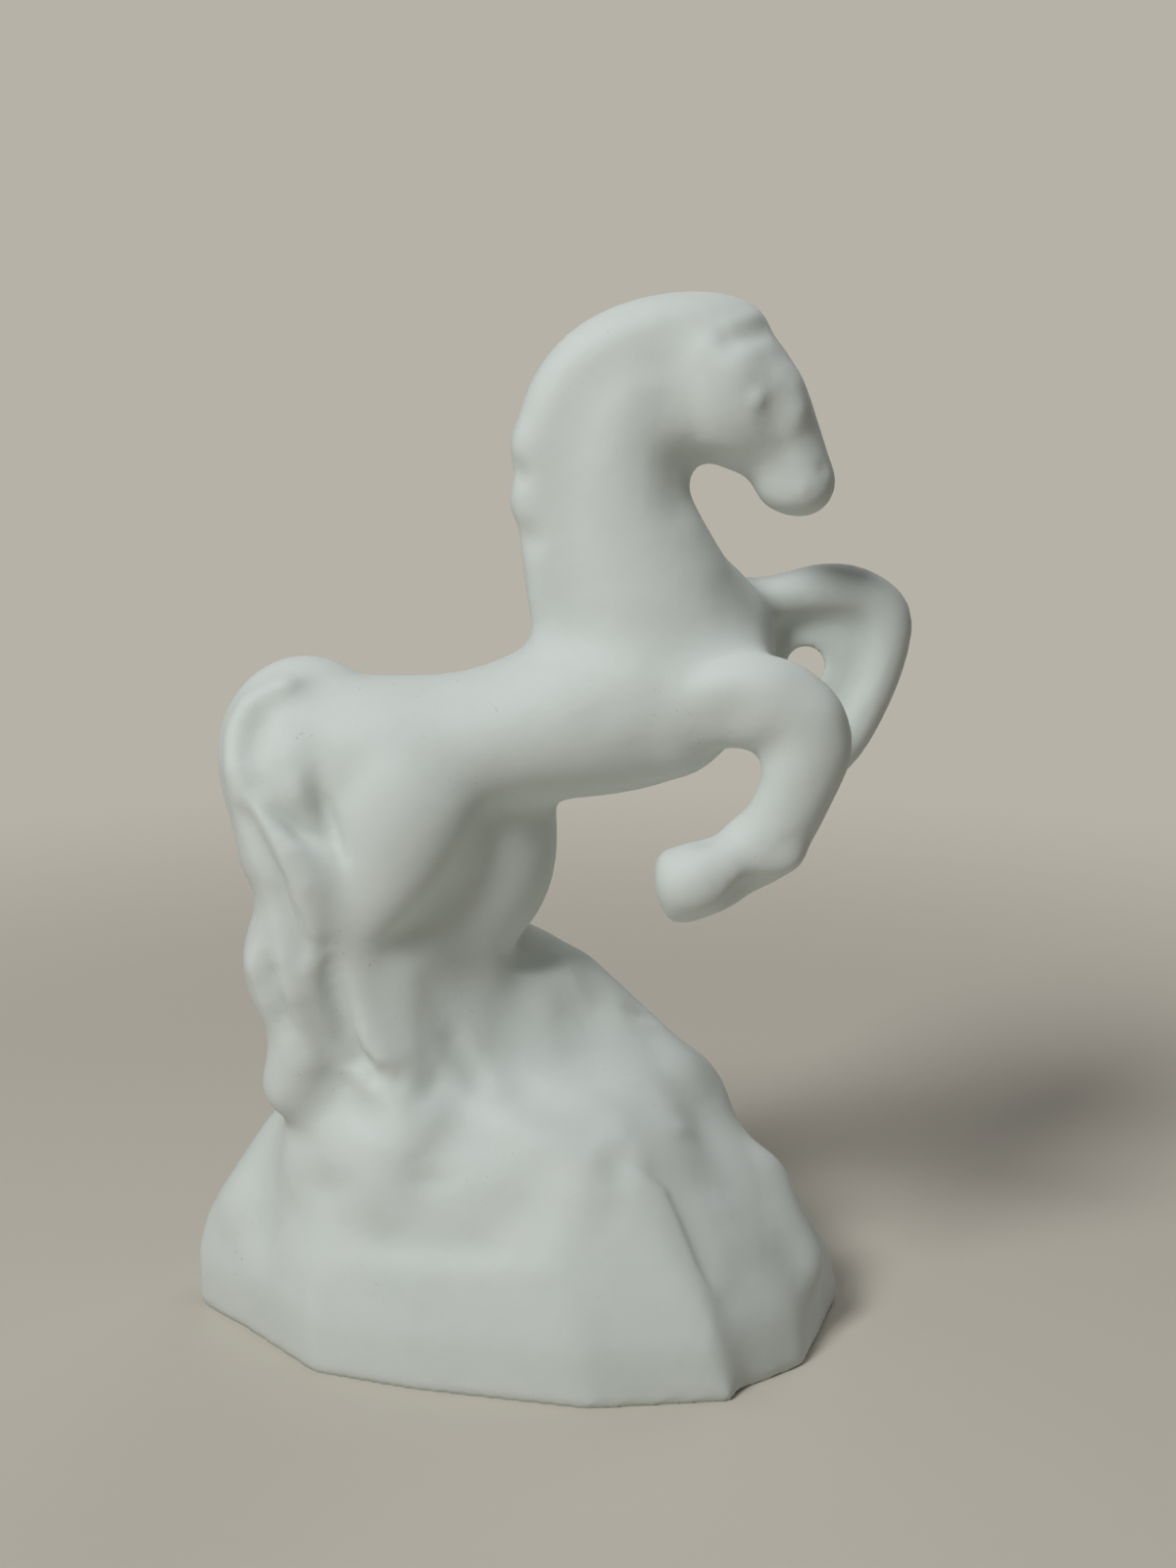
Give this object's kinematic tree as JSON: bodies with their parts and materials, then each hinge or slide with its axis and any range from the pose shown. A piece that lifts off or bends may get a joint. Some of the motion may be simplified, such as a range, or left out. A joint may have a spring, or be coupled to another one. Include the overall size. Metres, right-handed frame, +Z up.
{
  "type": "rearing horse figurine",
  "caption": "White unglazed porcelain figurine of a horse rearing on a rock, slip-cast limbs luted to a hollow body, standing free on the flat rim of its hollow rock base.",
  "frame": {"origin": "on the table, under the middle of the figurine's bounding box", "axes": "+X the way the horse faces, +Y its left side, +Z up"},
  "size_m": [0.092, 0.051, 0.1302],
  "materials": {
    "bisque_porcelain": "unglazed bisque, matte, cool white"
  },
  "bodies": {
    "root": {"rock_base": "bisque_porcelain", "torso": "bisque_porcelain", "neck": "bisque_porcelain", "head": "bisque_porcelain", "mane": "bisque_porcelain", "right_foreleg": "bisque_porcelain", "left_foreleg": "bisque_porcelain", "right_hind_leg": "bisque_porcelain", "left_hind_leg": "bisque_porcelain", "tail": "bisque_porcelain"}
  },
  "joints": []
}
